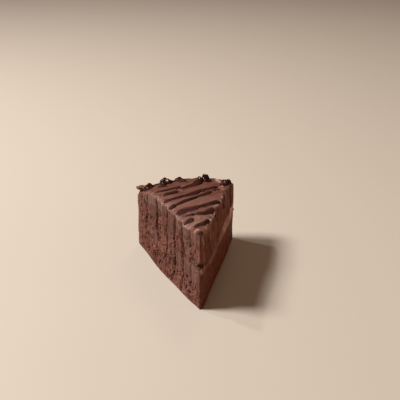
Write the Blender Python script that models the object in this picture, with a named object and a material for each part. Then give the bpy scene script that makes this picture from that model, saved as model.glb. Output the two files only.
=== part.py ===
"""A slice of chocolate layer cake.

Two sponge layers with a thin filling between them, and an icing that covers the top and the
outer side. Drizzled lines and blobs of sauce are fused to the icing.
Metres, +Z up. The tip points to -Y, the outer side to +Y, and the slice stands on z = 0.
Places on the slice are given by a radius from the tip and by a share across, which is 0 on the
left cut face and 1 on the right one, seen from the tip.
"""
import math

import bmesh
import bpy

# Size of the whole slice
CAKE_RADIUS = 0.115
HALF_ANGLE = math.radians(19.75)
TIP_WIDTH = 0.0016
TOP_HEIGHT = 0.0585

# Thickness of the icing, and the gap kept between solids that touch
ICING_TOP = 0.007
ICING_SIDE = 0.0085
ICING_ROUND = 0.003
GAP = 0.0003

# The top falls towards the rim, least at the crest and most at the two cuts
SHOULDER_START = 0.075
SHOULDER_POWER = 1.7
CREST = 0.67
RIM_DROP_LEFT = 0.0105
RIM_DROP_CREST = 0.0038
RIM_DROP_RIGHT = 0.0062

# The cut edges of the top sag a little, and the top swells in places
EDGE_SAG_LEFT = 0.0022
EDGE_SAG_RIGHT = 0.0012
EDGE_REACH = 0.0035
TOP_SWELL = 0.0004

# The filling: thickness, and the height of its middle at the tip and at the two rim corners
FILLING = 0.0034
FILLING_TIP = 0.0292
FILLING_BACK_LEFT = 0.0235
FILLING_BACK_RIGHT = 0.0275
FILLING_WAVE = 0.0004

# The left foot bows outwards, the right one inwards
FOOT_HEIGHT = 0.024
FOOT_LEFT = 0.0024
FOOT_RIGHT = -0.0012

# Below the filling the right face stands out as a ledge
LEDGE_RIGHT = 0.0016
LEDGE_BLEND = 0.002

# Grooves that the knife dragged down the left face: radius, depth and the height where each ends
GROOVE_WIDTH = 0.0012
GROOVES = (
    (0.0150, 0.0010, 0.010),
    (0.0280, 0.0013, 0.010),
    (0.0415, 0.0013, 0.001),
    (0.0560, 0.0016, 0.012),
    (0.0745, 0.0014, 0.022),
    (0.0945, 0.0013, 0.018),
)
STRIP_STEP = 0.0005
FACE_WAVE = 0.0003

# How far the relief of a cut face reaches into the slice, as a share across, and along from the tip
RELIEF_REACH = 0.3
TIP_FADE = 0.012

# The crumb torn out of the front edge just above the filling
NOTCH_DEPTH = 0.0045
NOTCH_ABOVE = 0.0020
NOTCH_REACH = 0.0026

# Drizzled lines: share across and radius at both ends, how far the middle bows towards the rim,
# and the width at both ends
DRIZZLE_HEIGHT = 0.0012
DRIZZLE_SUNK = 0.0020
DRIZZLE = (
    (0.140, 0.1035, 0.270, 0.1045, 0.0000, 0.0026, 0.0026),
    (0.025, 0.0820, 0.634, 0.0996, 0.0000, 0.0036, 0.0044),
    (0.108, 0.0763, 0.358, 0.0821, 0.0000, 0.0034, 0.0034),
    (0.010, 0.0615, 0.860, 0.0917, 0.0008, 0.0050, 0.0022),
    (0.010, 0.0512, 0.910, 0.0848, 0.0026, 0.0034, 0.0040),
    (0.010, 0.0390, 0.990, 0.0621, 0.0010, 0.0084, 0.0042),
    (0.120, 0.0318, 0.990, 0.0460, 0.0000, 0.0026, 0.0060),
    (0.010, 0.0235, 0.452, 0.0293, 0.0000, 0.0050, 0.0044),
    (0.200, 0.0153, 0.990, 0.0320, -0.0010, 0.0030, 0.0026),
)
DRIZZLE_STATIONS = 12
DRIZZLE_SIDES = 8
DRIZZLE_WANDER = 0.0006
DRIZZLE_SWELL = 0.12
DRIZZLE_LOOK_AHEAD = 0.01

# Blobs of sauce: radius, share across, half width, half depth and height above the icing
BLOBS = (
    (0.1060, 0.065, 0.0055, 0.0050, 0.0048),
    (0.1060, 0.270, 0.0058, 0.0042, 0.0048),
    (0.1065, 0.450, 0.0034, 0.0028, 0.0020),
    (0.1050, 0.685, 0.0068, 0.0052, 0.0050),
    (0.1030, 0.910, 0.0062, 0.0060, 0.0034),
    (0.0064, 0.600, 0.0032, 0.0034, 0.0022),
)
BLOB_SUNK = 0.0024

# A blob's lobes: how many, how far apart, how large, and how much smaller and lower each next one is
LOBES = 3
LOBE_SPREAD = 0.3
LOBE_SIZE = 0.8
LOBE_SHRINK = 0.1
LOBE_LOWER = 0.22
LOBE_LUMPS = 0.08

# How finely the solids are divided
RADIAL_SPACING = 0.0046
ACROSS = (0.0, 0.04, 0.13, 0.27, 0.42, 0.58, 0.73, 0.87, 0.96, 1.0)
SPONGE_ROWS = 6
ICING_ROWS = 2
ICING_SIDE_ROWS = 6

# Colour and roughness of each material
SPONGE_LOOK = ((0.120, 0.052, 0.036), 0.9)
FILLING_LOOK = ((0.165, 0.070, 0.048), 0.6)
ICING_LOOK = ((0.150, 0.060, 0.042), 0.45)

INNER_RADIUS = CAKE_RADIUS - ICING_SIDE


def mix(a, b, share):
    """The value a given share of the way from a to b."""
    return a + (b - a) * share


def clamp(value):
    """The value kept between 0 and 1."""
    return max(0.0, min(1.0, value))


def ease(value):
    """A soft step from 0 to 1."""
    value = clamp(value)
    return value * value * (3 - 2 * value)


def bell(distance, reach):
    """A round bump of height 1 that fades out over about twice its reach."""
    return math.exp(-(distance / reach) ** 2)


def strip_step(radius):
    """How far each strip between two grooves stands out: every other one does."""
    passed = sum(1 for groove in GROOVES if radius > groove[0])
    return STRIP_STEP * (1 if passed % 2 else -1)


def groove_cut(radius, height):
    """How deep the grooves of the left face are at one point."""
    cut = 0.0
    for groove_radius, depth, end in GROOVES:
        fade = ease((height - end) / 0.012)
        cut = max(cut, depth * fade * bell(radius - groove_radius, GROOVE_WIDTH))
    return cut


def left_push(radius, height):
    """How far the left cut face stands out of its plane."""
    along = math.sin(math.pi * clamp(radius / CAKE_RADIUS))
    foot = FOOT_LEFT * along * clamp(1 - height / FOOT_HEIGHT) ** 1.6
    wave = FACE_WAVE * math.sin(radius / 0.0083 + height / 0.0121)
    return foot + wave + strip_step(radius) - groove_cut(radius, height)


def right_push(radius, height):
    """How far the right cut face stands out of its plane."""
    along = math.sin(math.pi * clamp(radius / CAKE_RADIUS))
    foot = FOOT_RIGHT * along * clamp(1 - height / FOOT_HEIGHT)
    ledge = ease((filling_middle(radius, 1.0) - height) / LEDGE_BLEND + 0.5)
    ledge *= LEDGE_RIGHT * math.sqrt(along)
    wave = FACE_WAVE * math.sin(radius / 0.0117 - height / 0.0094 + 2.0)
    return foot + ledge + wave


def place(radius, share, height):
    """The point at a radius, a share across and a height, with the cut faces' relief."""
    side = 2 * share - 1
    turn = side * HALF_ANGLE
    fade = clamp(radius / TIP_FADE)
    left = fade * clamp(1 - share / RELIEF_REACH) ** 2 * left_push(radius, height)
    right = fade * clamp(1 - (1 - share) / RELIEF_REACH) ** 2 * right_push(radius, height)
    x = radius * math.sin(turn) + side * TIP_WIDTH / 2 + (right - left) * math.cos(HALF_ANGLE)
    y = radius * math.cos(turn) - CAKE_RADIUS / 2 - (right + left) * math.sin(HALF_ANGLE)
    return (x, y, height)


def rim_drop(share):
    """How far the top has fallen at the rim."""
    if share < CREST:
        return mix(RIM_DROP_CREST, RIM_DROP_LEFT, ((CREST - share) / CREST) ** 2)
    return mix(RIM_DROP_CREST, RIM_DROP_RIGHT, ((share - CREST) / (1 - CREST)) ** 2)


def top_height(radius, share):
    """The height of the icing's top."""
    way = max(0.0, (radius - SHOULDER_START) / (CAKE_RADIUS - SHOULDER_START))
    breadth = 2 * HALF_ANGLE * radius + TIP_WIDTH
    left_sag = EDGE_SAG_LEFT * math.exp(-share * breadth / EDGE_REACH)
    right_sag = EDGE_SAG_RIGHT * math.exp(-(1 - share) * breadth / EDGE_REACH)
    swell = TOP_SWELL * math.sin(radius / 0.0105 + 1.7) * math.sin(7 * share + 0.6)
    uneven = clamp(radius / TIP_FADE) * (swell - left_sag - right_sag)
    return TOP_HEIGHT - way ** SHOULDER_POWER * rim_drop(share) + uneven


def sponge_top(radius, share):
    """The height of the face between the upper sponge and the icing."""
    return top_height(radius, share) - ICING_TOP


def filling_middle(radius, share):
    """The height of the middle of the filling."""
    back = mix(FILLING_BACK_LEFT, FILLING_BACK_RIGHT, share)
    wave = FILLING_WAVE * math.sin(radius / 0.009 + 3 * share)
    return mix(FILLING_TIP, back, clamp(radius / CAKE_RADIUS)) + wave


def filling_bottom(radius, share):
    """The height of the filling's underside."""
    return filling_middle(radius, share) - FILLING / 2


def filling_top(radius, share):
    """The height of the filling's upper side."""
    return filling_middle(radius, share) + FILLING / 2


def notch(radius, height):
    """How far the front edge is torn back at a height, fading out along the slice."""
    centre = filling_top(0.0, 0.5) + NOTCH_ABOVE
    torn = NOTCH_DEPTH * bell(height - centre, NOTCH_REACH)
    return torn * clamp(1 - radius / (4 * NOTCH_DEPTH))


def radial_stations():
    """Radii from the tip to the inner side of the icing, with three at each groove."""
    count = round(INNER_RADIUS / RADIAL_SPACING)
    even = [INNER_RADIUS * i / count for i in range(count + 1)]
    near = 2.2 * GROOVE_WIDTH
    radii = [r for r in even if all(abs(r - groove[0]) > near for groove in GROOVES)]
    for groove in GROOVES:
        radii += [groove[0] - GROOVE_WIDTH, groove[0], groove[0] + GROOVE_WIDTH]
    return sorted(radii)


RADII = radial_stations()


def skin(name, point, counts):
    """A closed mesh: the skin of a block of cells, whose corners point(i, j, k) places."""
    mesh = bmesh.new()
    corners = {}

    def corner(i, j, k):
        if (i, j, k) not in corners:
            corners[i, j, k] = mesh.verts.new(point(i, j, k))
        return corners[i, j, k]

    for axis in range(3):
        first, second = [other for other in range(3) if other != axis]
        for end in (0, counts[axis]):
            for a in range(counts[first]):
                for b in range(counts[second]):
                    quad = []
                    for da, db in ((0, 0), (1, 0), (1, 1), (0, 1)):
                        index = [0, 0, 0]
                        index[axis] = end
                        index[first] = a + da
                        index[second] = b + db
                        quad.append(corner(*index))
                    mesh.faces.new(quad)
    bmesh.ops.recalc_face_normals(mesh, faces=mesh.faces)
    return finish_mesh(name, mesh)


def finish_mesh(name, mesh):
    """Turn a bmesh into an object in the scene."""
    data = bpy.data.meshes.new(name)
    mesh.to_mesh(data)
    mesh.free()
    piece = bpy.data.objects.new(name, data)
    bpy.context.scene.collection.objects.link(piece)
    return piece


def material(name, colour, roughness):
    """A plain food material."""
    made = bpy.data.materials.new(name)
    made.use_nodes = True
    shader = made.node_tree.nodes["Principled BSDF"]
    shader.inputs["Base Color"].default_value = (*colour, 1)
    shader.inputs["Roughness"].default_value = roughness
    shader.inputs["Metallic"].default_value = 0
    return made


def layer(name, bottom, top, rows):
    """A layer of the cake between two heights, each a function of radius and share across."""
    def point(i, j, k):
        radius = RADII[i] - (GAP if i == len(RADII) - 1 else 0.0)
        share = ACROSS[j]
        height = mix(bottom(radius, share), top(radius, share), k / rows)
        return place(radius + notch(radius, height), share, height)

    return skin(name, point, (len(RADII) - 1, len(ACROSS) - 1, rows))


def sponge_lower():
    """The lower sponge layer, flat underneath."""
    return layer("sponge_lower", lambda r, s: 0.0, lambda r, s: filling_bottom(r, s) - GAP,
                 SPONGE_ROWS)


def filling():
    """The thin layer of filling between the sponges."""
    return layer("filling", filling_bottom, filling_top, 1)


def sponge_upper():
    """The upper sponge layer, which the icing covers."""
    return layer("sponge_upper", lambda r, s: filling_top(r, s) + GAP,
                 lambda r, s: sponge_top(r, s) - GAP, SPONGE_ROWS)


def icing_inner(i, share):
    """Radius and height along the icing's inner side: under the top, then down to the floor."""
    last = len(RADII) - 1
    if i <= last:
        return RADII[i], sponge_top(RADII[i], share)
    way = (i - last) / ICING_SIDE_ROWS
    return INNER_RADIUS, sponge_top(INNER_RADIUS, share) * (1 - way)


def icing_outer(i, share):
    """Radius and height along the icing's outer side: the top, the round rim and the side."""
    last = len(RADII) - 1
    shoulder = CAKE_RADIUS - ICING_ROUND
    if i <= last:
        radius = RADII[i] * shoulder / INNER_RADIUS
        return radius, top_height(radius, share)
    rim = top_height(CAKE_RADIUS, share)
    steps = i - last
    if steps <= 2:
        turn = math.radians(45 * steps)
        return (shoulder + ICING_ROUND * math.sin(turn),
                rim - ICING_ROUND * (1 - math.cos(turn)))
    way = (steps - 2) / (ICING_SIDE_ROWS - 2)
    return CAKE_RADIUS, (rim - ICING_ROUND) * (1 - way)


def bare_icing():
    """The icing over the top and down the outer side, before the sauce is fused on."""
    def point(i, j, k):
        share = ACROSS[j]
        inner = icing_inner(i, share)
        outer = icing_outer(i, share)
        radius = mix(inner[0], outer[0], k / ICING_ROWS)
        height = mix(inner[1], outer[1], k / ICING_ROWS)
        return place(radius, share, height)

    along = len(RADII) - 1 + ICING_SIDE_ROWS
    return skin("icing", point, (along, len(ACROSS) - 1, ICING_ROWS))


def drizzle_path(line, way):
    """Share across and radius at a way along a drizzled line, which is nearly straight in plan."""
    share_a, radius_a, share_b, radius_b, bow = line[:5]
    turn_a = (2 * share_a - 1) * HALF_ANGLE
    turn_b = (2 * share_b - 1) * HALF_ANGLE
    wander = DRIZZLE_WANDER * (share_b - share_a) * math.sin(9 * way + radius_a * 400)
    x = mix(radius_a * math.sin(turn_a), radius_b * math.sin(turn_b), way)
    y = mix(radius_a * math.cos(turn_a), radius_b * math.cos(turn_b), way)
    y += bow * math.sin(math.pi * way) + wander
    return (math.atan2(x, y) / HALF_ANGLE + 1) / 2, math.hypot(x, y)


def drizzle_line(number, line):
    """One drizzled line: a low rounded bead that lies on the icing."""
    def point(i, j):
        way = i / DRIZZLE_STATIONS
        share, radius = drizzle_path(line, way)
        ahead = drizzle_path(line, way + DRIZZLE_LOOK_AHEAD)
        run = (ahead[0] - share) * 2 * HALF_ANGLE * radius
        rise = ahead[1] - radius
        lean = math.hypot(run, rise) / run
        width = mix(line[5], line[6], way) * (1 + DRIZZLE_SWELL * math.sin(17 * way + number))
        turn = 2 * math.pi * j / DRIZZLE_SIDES
        across = width / 2 * lean * math.cos(turn)
        lift = math.sin(turn)
        lift *= DRIZZLE_HEIGHT if lift > 0 else DRIZZLE_SUNK
        top = top_height(radius + across, share)
        x, y, _ = place(radius, share, top)
        facing = (2 * share - 1) * HALF_ANGLE
        return (x + across * math.sin(facing), y + across * math.cos(facing), top + lift)

    mesh = bmesh.new()
    rings = [[mesh.verts.new(point(i, j)) for j in range(DRIZZLE_SIDES)]
             for i in range(DRIZZLE_STATIONS + 1)]
    for near, far in zip(rings, rings[1:]):
        for j in range(DRIZZLE_SIDES):
            after = (j + 1) % DRIZZLE_SIDES
            mesh.faces.new((near[j], near[after], far[after], far[j]))
    mesh.faces.new(rings[0])
    mesh.faces.new(rings[-1])
    bmesh.ops.recalc_face_normals(mesh, faces=mesh.faces)
    return finish_mesh("drizzle_%d" % number, mesh)


def blob(number, radius, share, half_width, half_depth, height):
    """One blob of sauce: a few round lobes side by side, sunk a little into the icing."""
    pieces = []
    centre = place(radius, share, top_height(radius, share))
    for lobe in range(LOBES):
        turn = 2 * math.pi * (lobe / LOBES + number / 8)
        aside = LOBE_SPREAD * math.cos(turn)
        beyond = LOBE_SPREAD * math.sin(turn)
        size = LOBE_SIZE - LOBE_SHRINK * lobe
        lift = height * (1 - LOBE_LOWER * lobe)
        mesh = bmesh.new()
        bmesh.ops.create_icosphere(mesh, subdivisions=2, radius=1)
        for vert in mesh.verts:
            lump = 1 + LOBE_LUMPS * math.sin(5 * vert.co.x + 3 * vert.co.y + 2 * number)
            vert.co.x = centre[0] + half_width * (aside + size * lump * vert.co.x)
            vert.co.y = centre[1] + half_depth * (beyond + size * lump * vert.co.y)
            vert.co.z = centre[2] + (lift if vert.co.z > 0 else BLOB_SUNK) * lump * vert.co.z
        pieces.append(finish_mesh("blob_%d_%d" % (number, lobe), mesh))
    return pieces


def icing():
    """The icing with its drizzled lines and blobs of sauce fused on as one solid."""
    piece = bare_icing()
    sauce = [drizzle_line(number, line) for number, line in enumerate(DRIZZLE)]
    for number, size in enumerate(BLOBS):
        sauce += blob(number, *size)
    collection = bpy.data.collections.new("sauce")
    for part in sauce:
        bpy.context.scene.collection.objects.unlink(part)
        collection.objects.link(part)
    bpy.context.scene.collection.children.link(collection)
    join = piece.modifiers.new("sauce", "BOOLEAN")
    join.operation = "UNION"
    join.operand_type = "COLLECTION"
    join.collection = collection
    bpy.context.view_layer.objects.active = piece
    bpy.ops.object.modifier_apply(modifier=join.name)
    for part in sauce:
        bpy.data.objects.remove(part)
    bpy.data.collections.remove(collection)
    return piece


def main():
    """Build the slice."""
    for old in list(bpy.data.objects):
        bpy.data.objects.remove(old)
    looks = {
        sponge_lower: SPONGE_LOOK,
        filling: FILLING_LOOK,
        sponge_upper: SPONGE_LOOK,
        icing: ICING_LOOK,
    }
    for build, (colour, roughness) in looks.items():
        piece = build()
        piece.data.materials.clear()
        piece.data.materials.append(material(piece.name, colour, roughness))


main()
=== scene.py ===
"""The looks of a slice of chocolate layer cake.

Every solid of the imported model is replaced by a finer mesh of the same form. A place on the slice
is given by a radius from the tip, a share across (0 on the left cut face, 1 on the right one) and
a height. Metres, +Z up, the tip towards -Y.
"""
import math
from functools import lru_cache

import bmesh
import bpy
import numpy as np
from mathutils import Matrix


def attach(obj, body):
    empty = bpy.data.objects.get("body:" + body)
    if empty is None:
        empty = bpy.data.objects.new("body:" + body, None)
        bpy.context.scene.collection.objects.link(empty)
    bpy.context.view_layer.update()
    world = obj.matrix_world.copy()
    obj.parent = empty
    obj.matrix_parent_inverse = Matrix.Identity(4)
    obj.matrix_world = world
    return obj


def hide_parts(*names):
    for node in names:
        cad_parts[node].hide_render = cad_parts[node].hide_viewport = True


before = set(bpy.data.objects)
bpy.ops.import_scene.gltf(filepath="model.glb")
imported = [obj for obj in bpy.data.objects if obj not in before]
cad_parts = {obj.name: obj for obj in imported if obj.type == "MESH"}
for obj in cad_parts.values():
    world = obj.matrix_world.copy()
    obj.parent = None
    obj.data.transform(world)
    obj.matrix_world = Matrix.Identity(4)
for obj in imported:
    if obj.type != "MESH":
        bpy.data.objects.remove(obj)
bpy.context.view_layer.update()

# Size of the whole slice, as in the solids
CAKE_RADIUS = 0.115
HALF_ANGLE = math.radians(19.75)
TIP_WIDTH = 0.0016
TOP_HEIGHT = 0.0585
ICING_TOP = 0.007
ICING_SIDE = 0.0085
ICING_ROUND = 0.003
INNER_RADIUS = CAKE_RADIUS - ICING_SIDE

# The fall of the top towards the rim, and the sag of its cut edges
SHOULDER_START = 0.075
SHOULDER_POWER = 1.7
CREST = 0.67
RIM_DROP_LEFT = 0.0105
RIM_DROP_CREST = 0.0038
RIM_DROP_RIGHT = 0.0062
EDGE_SAG_LEFT = 0.0022
EDGE_SAG_RIGHT = 0.0012
EDGE_REACH = 0.0035
TOP_SWELL = 0.0004

# The filling
FILLING = 0.0034
FILLING_TIP = 0.0292
FILLING_BACK_LEFT = 0.0235
FILLING_BACK_RIGHT = 0.0275
FILLING_WAVE = 0.0004

# The large relief of the cut faces, as in the solids. A groove of the left face is a radius, a
# depth and the height where it ends
FOOT_HEIGHT = 0.024
FOOT_LEFT = 0.0024
FOOT_RIGHT = -0.0012
LEDGE_RIGHT = 0.0016
LEDGE_BLEND = 0.002
GROOVE_WIDTH = 0.0012
GROOVES = (
    (0.015, 0.001, 0.01),
    (0.028, 0.0013, 0.01),
    (0.0415, 0.0013, 0.001),
    (0.056, 0.0016, 0.012),
    (0.0745, 0.0014, 0.022),
    (0.0945, 0.0013, 0.018),
)
FACE_WAVE = 0.0003
RELIEF_REACH = 0.3
TIP_FADE = 0.012
NOTCH_DEPTH = 0.0045
NOTCH_ABOVE = 0.002
NOTCH_REACH = 0.0026

# Every other strip between two grooves stands out a little
STRIP_STEP = 0.0001

# Drizzled lines: share across and radius at both ends, bow, and the width at both ends. Narrow
# ones spread by up to DRIZZLE_SPREAD, and lie lower below the full width
DRIZZLE_HEIGHT = 0.001
DRIZZLE_SUNK = 0.0012
DRIZZLE_SPREAD = 0.0011
FULL_WIDTH = 0.004
DRIZZLE = (
    (0.11, 0.108, 0.24, 0.109, 0.0, 0.0026, 0.0024),
    (0.05, 0.0845, 0.415, 0.0889, -0.0012, 0.0036, 0.006),
    (0.37, 0.0835, 0.68, 0.096, 0.0, 0.0048, 0.006),
    (0.096, 0.0746, 0.345, 0.0792, -0.0005, 0.0044, 0.0056),
    (0.026, 0.0638, 0.35, 0.067, -0.001, 0.0064, 0.0034),
    (0.345, 0.0669, 0.67, 0.0773, -0.0004, 0.0032, 0.006),
    (0.66, 0.077, 0.88, 0.0882, 0.0, 0.0034, 0.0034),
    (0.016, 0.0524, 0.18, 0.054, -0.0004, 0.0046, 0.0042),
    (0.16, 0.0539, 0.57, 0.0655, -0.0002, 0.0034, 0.0046),
    (0.56, 0.0652, 0.83, 0.0765, -0.0004, 0.0032, 0.0058),
    (0.028, 0.0416, 0.65, 0.0473, -0.0009, 0.0092, 0.007),
    (0.63, 0.0475, 0.99, 0.0598, -0.0003, 0.0048, 0.0058),
    (0.19, 0.0338, 0.5, 0.0338, 0.0, 0.0026, 0.0028),
    (0.47, 0.0337, 0.985, 0.045, -0.0014, 0.005, 0.0076),
    (0.02, 0.025, 0.415, 0.0278, -0.0006, 0.0036, 0.0068),
    (0.22, 0.0152, 0.975, 0.0265, -0.0013, 0.0032, 0.0036),
    (0.25, 0.0662, 0.76, 0.0836, -0.0008, 0.0016, 0.0014),
    (0.12, 0.0534, 0.82, 0.0758, 0.0006, 0.0016, 0.0014),
    (0.5, 0.046, 0.99, 0.0598, -0.001, 0.0016, 0.0014),
)
DRIZZLE_STATIONS = 90
DRIZZLE_SIDES = 20
DRIZZLE_WANDER = 0.0006
DRIZZLE_SWELL = 0.16

# Round lobes of sauce: radius, share across, half width, half depth and height above the icing.
# Two or three together make a blob
LOBES = (
    (0.1075, 0.09, 0.004, 0.004, 0.0038),
    (0.105, 0.06, 0.0034, 0.0034, 0.0024),
    (0.109, 0.035, 0.0036, 0.0034, 0.0036),
    (0.1075, 0.262, 0.0036, 0.0036, 0.0048),
    (0.1055, 0.3, 0.0038, 0.0036, 0.0036),
    (0.103, 0.24, 0.0026, 0.0026, 0.0024),
    (0.108, 0.428, 0.0034, 0.0036, 0.0028),
    (0.1035, 0.458, 0.003, 0.0038, 0.0022),
    (0.104, 0.718, 0.0032, 0.0036, 0.0056),
    (0.1035, 0.722, 0.0044, 0.005, 0.0024),
    (0.1015, 0.655, 0.0032, 0.0034, 0.0036),
    (0.1035, 0.945, 0.0036, 0.0042, 0.0032),
    (0.1075, 0.965, 0.003, 0.003, 0.003),
    (0.08, 0.885, 0.0034, 0.002, 0.0013),
    (0.102, 0.06, 0.0042, 0.0026, 0.0009),
    (0.0985, 0.215, 0.0042, 0.0016, 0.0008),
    (0.0032, 0.54, 0.0019, 0.0026, 0.0015),
    (0.0056, 0.76, 0.0012, 0.0022, 0.0012),
)
LOBE_SUNK = 0.0024
LOBE_LUMPS = 0.1

# A pale patch that lies flat on the first blob, as a lobe, and how far it is off the icing
PALE_LOBE = (0.11, 0.022, 0.0046, 0.003, 0.001)
PALE_LOBE_LIFT = 0.0036

# Where the sauce ran out thin from a blob: radius, share across, half width, height, the
# direction in degrees from +X, and the length
TAILS = (
    (0.1075, 0.09, 0.0022, 0.0016, 14, 0.011),
    (0.1055, 0.305, 0.0022, 0.0018, 6, 0.008),
    (0.1035, 0.458, 0.002, 0.0014, -70, 0.005),
    (0.1, 0.66, 0.0026, 0.002, 216, 0.011),
    (0.0985, 0.94, 0.0022, 0.0013, 215, 0.006),
)
TAIL_LOBES = 7

# Glossy pillows of icing, painted paler as highlights: radius, share across, reach, height and how
# pale the painted highlight is
PILLOWS = (
    (0.0835, 0.012, 0.0026, 0.0016, 0.25),
    (0.076, 0.01, 0.0022, 0.0011, 0.2),
    (0.067, 0.012, 0.0028, 0.0013, 0.25),
    (0.1115, 0.04, 0.0018, 0.0008, 0.4),
    (0.0335, 0.05, 0.0028, 0.0011, 0.15),
    (0.1055, 0.852, 0.0016, 0.0016, 1.0),
    (0.1012, 0.88, 0.0014, 0.0014, 0.8),
    (0.1085, 0.832, 0.0012, 0.0011, 0.6),
    (0.0905, 0.935, 0.0014, 0.0012, 0.7),
    (0.0845, 0.965, 0.0017, 0.0006, 0.2),
    (0.0105, 0.42, 0.0013, 0.0009, 0.8),
    (0.0084, 0.18, 0.0013, 0.001, 0.6),
)

# The icing dips under a drizzled line and stands up beside it
BANK_HEIGHT = 0.00035
BANK_AWAY = 0.0009
BANK_REACH = 0.001
LINE_DIP = 0.0003

# The direction in which the sauce was drizzled
DRIZZLE_TURN = math.radians(36)

# Sauce gets dark over the first of these, and glossy over the second above the height of a line
THICK_SAUCE = 0.0005
GLOSSY_SAUCE = 0.0016

# Thin runs of sauce down the cut faces: side (-1 is the left one), radius, top, lower end,
# half width, how far they stand out
RUNS = (
    (1, 0.073, 0.057, 0.0455, 0.0022, 0.0006),
    (1, 0.103, 0.054, 0.034, 0.0028, 0.0006),
    (1, 0.044, 0.0575, 0.052, 0.0018, 0.0005),
    (-1, 0.0948, 0.0545, 0.047, 0.0007, 0.0003),
    (-1, 0.0747, 0.0565, 0.049, 0.0006, 0.0003),
    (-1, 0.0562, 0.0568, 0.049, 0.0008, 0.0004),
    (-1, 0.0417, 0.0568, 0.05, 0.0006, 0.0003),
    (-1, 0.0282, 0.0565, 0.051, 0.0007, 0.0003),
)

# The sauce's meshes are fused in cells of this size, then softened this many times
SAUCE_CELL = 0.00035
SAUCE_SOFTEN = 3

# How finely the meshes are divided, and the angle from which an edge is shaded as sharp
RADIAL_CELLS = 355
LAYER_CELLS = 85
FILLING_CELLS = 9
SPONGE_COLUMNS = 26
ICING_COLUMNS = 150
ICING_ROWS = 16
SIDE_CELLS = 110
ROUND_CELLS = 10
SHARP_FROM = math.radians(65)

# The maps that hold a cut face's relief and masks
MAP_STEP = 0.00025
MAP_RADII = np.arange(0, 0.122, MAP_STEP)
MAP_HEIGHTS = np.arange(0, 0.066, MAP_STEP)

# Noise repeats after this many lumps
NOISE_TABLE = 97

# Layers of noise: height, size across, size along, seed. The first two are for the front edge,
# the next two for the ends of the smears
NOTCH_RAGGED = ((0.45, 0.0013, 0.001, 35), (0.3, 0.0006, 0.0006, 73))
EDGE_WAVER = ((0.0005, 0.0038, 0.002, 36), (0.0003, 0.0012, 0.001, 37))
SMEAR_TONGUES = ((0.0035, 0.0024, 0.06, 11), (0.0022, 0.0009, 0.06, 12))
SMEAR_PATCHES = ((0.65, 0.0026, 0.006, 13), (0.35, 0.001, 0.0026, 14))
CRUMB_CLODS = ((0.00036, 0.0021, 0.0032, 21), (0.00026, 0.001, 0.0015, 24))
CLODS_MIDDLE = 0.00041
RIGHT_WAVES = ((0.00034, 0.01, 0.012, 43), (0.00012, 0.0024, 0.0032, 49))

# How far down the icing was dragged in each strip of the left face, from the tip to the rim,
# and where the smear of the filling begins and ends in each
ICING_DRAG = (0.0485, 0.047, 0.045, 0.035, 0.046, 0.04, 0.051)
FILLING_DRAG = (0.0165, 0.0165, 0.019, 0.027, 0.0275, 0.0195, 0.0265)

# The line of painted shade at the bottom of each groove, which is also cut a little deeper
LINE_WIDTH = 0.00068
LINE_DEPTH = 0.0006
LINE_STRENGTH = (0.4, 1.0, 0.9, 1.0, 0.9, 1.0)

# The lip along the ledge of the right face
LIP_RIGHT = 0.0009
LIP_REACH = 0.0009

# Pale ridges torn up on the right face, with painted highlights along them: radius and height at both
# ends, half width, how pale
RIDGES = (
    (0.003, 0.057, 0.0062, 0.047, 0.0009, 1.0),
    (0.015, 0.057, 0.0115, 0.0515, 0.001, 0.7),
    (0.0215, 0.0575, 0.0227, 0.0505, 0.0008, 0.8),
    (0.0245, 0.056, 0.0285, 0.04, 0.0008, 0.7),
    (0.032, 0.048, 0.041, 0.03, 0.002, 0.3),
    (0.007, 0.042, 0.0085, 0.034, 0.0008, 0.4),
)

# How far a pore is pressed into a map, in half widths
PIT_REACH = 2.2

# Pores of the right face: how many, and the largest by radius, height, half width, half height
RIGHT_PORES = 170
RIGHT_LARGE_PORES = (
    (0.0265, 0.0547, 0.0009, 0.0014),
    (0.0331, 0.046, 0.0008, 0.0012),
    (0.0332, 0.0395, 0.0008, 0.0014),
    (0.0108, 0.0529, 0.0008, 0.0012),
    (0.0138, 0.0459, 0.0008, 0.0016),
    (0.0233, 0.0432, 0.0009, 0.0015),
)

# Pores of the left face: how many, the share that lies at a groove and how far those stray from
# it, and the largest ones by radius, height, half width, half height
PORES = 2600
NEAR_GROOVE = 0.32
GROOVE_SCATTER = 0.0016
LARGE_PORES = (
    (0.0592, 0.0148, 0.0012, 0.0026),
    (0.0497, 0.0161, 0.0011, 0.0024),
    (0.0411, 0.016, 0.0011, 0.003),
    (0.0777, 0.0077, 0.001, 0.0032),
    (0.0894, 0.0068, 0.0009, 0.0024),
    (0.0566, 0.0319, 0.0011, 0.0022),
    (0.0202, 0.0163, 0.001, 0.0018),
    (0.014, 0.0148, 0.0009, 0.0024),
    (0.0746, 0.024, 0.001, 0.003),
    (0.0562, 0.023, 0.001, 0.003),
)

# Loose crumbs, and how many of them lie round the torn notch
CRUMBS = 460
TORN_CRUMBS = 45

# The camera of the photograph: place, downward tilt, turn (less than 0 is to the right), focal
# length and sensor in millimetres
CAMERA_PLACE = (-0.0482, -0.4771, 0.2706)
CAMERA_DOWN = math.radians(23.75)
CAMERA_TURN = math.radians(-6.49)
CAMERA_LENS = 63.0
SENSOR_WIDTH = 36

# Lights: name, place, size, power, colour, and whether glossy surfaces mirror it
LIGHTS = (
    ("key", (-1.24, 0.16, 1.56), 0.6, 56.0, (1.0, 0.96, 0.92), True),
    ("above", (0.4, 1.1, 1.35), 0.5, 3.0, (1.0, 0.8, 0.64), False),
    ("glint", (-0.6, 0.45, 1.0), 0.08, 3.0, (1.0, 0.97, 0.94), True),
    ("warm", (0.8, -0.35, 0.12), 0.3, 1.5, (1.0, 0.56, 0.3), False),
)
ROOM_COLOUR = (1.0, 0.6, 0.38, 1)
ROOM_STRENGTH = 0.13
FLOOR_COLOUR = (0.5, 0.45, 0.385, 1)

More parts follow.
